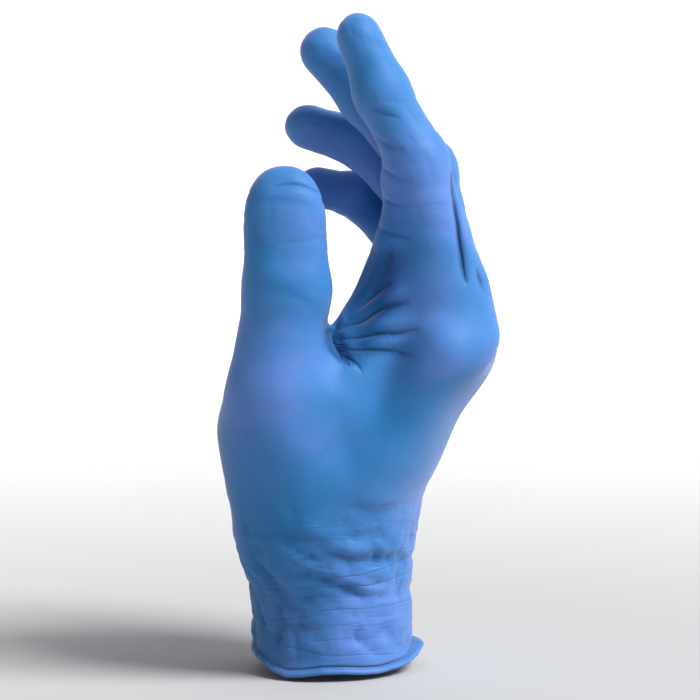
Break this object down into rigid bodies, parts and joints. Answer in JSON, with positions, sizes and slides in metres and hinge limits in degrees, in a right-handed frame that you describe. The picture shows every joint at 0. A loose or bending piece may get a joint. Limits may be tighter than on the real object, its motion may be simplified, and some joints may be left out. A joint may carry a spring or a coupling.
{
  "type": "disposable nitrile exam glove",
  "caption": "Thin dipped glove in its worn shape, fingers gently curled, open at the wrist with a rolled bead round the cuff.",
  "frame": {"origin": "middle of the cuff's opening, where the hand goes in", "axes": "+Z from the cuff to the fingertips, -X the palm's side, -Y the thumb's side"},
  "size_m": [0.0897, 0.0902, 0.2107],
  "materials": {
    "nitrile": "satin"
  },
  "bodies": {
    "root": {"glove": "nitrile"}
  },
  "joints": []
}
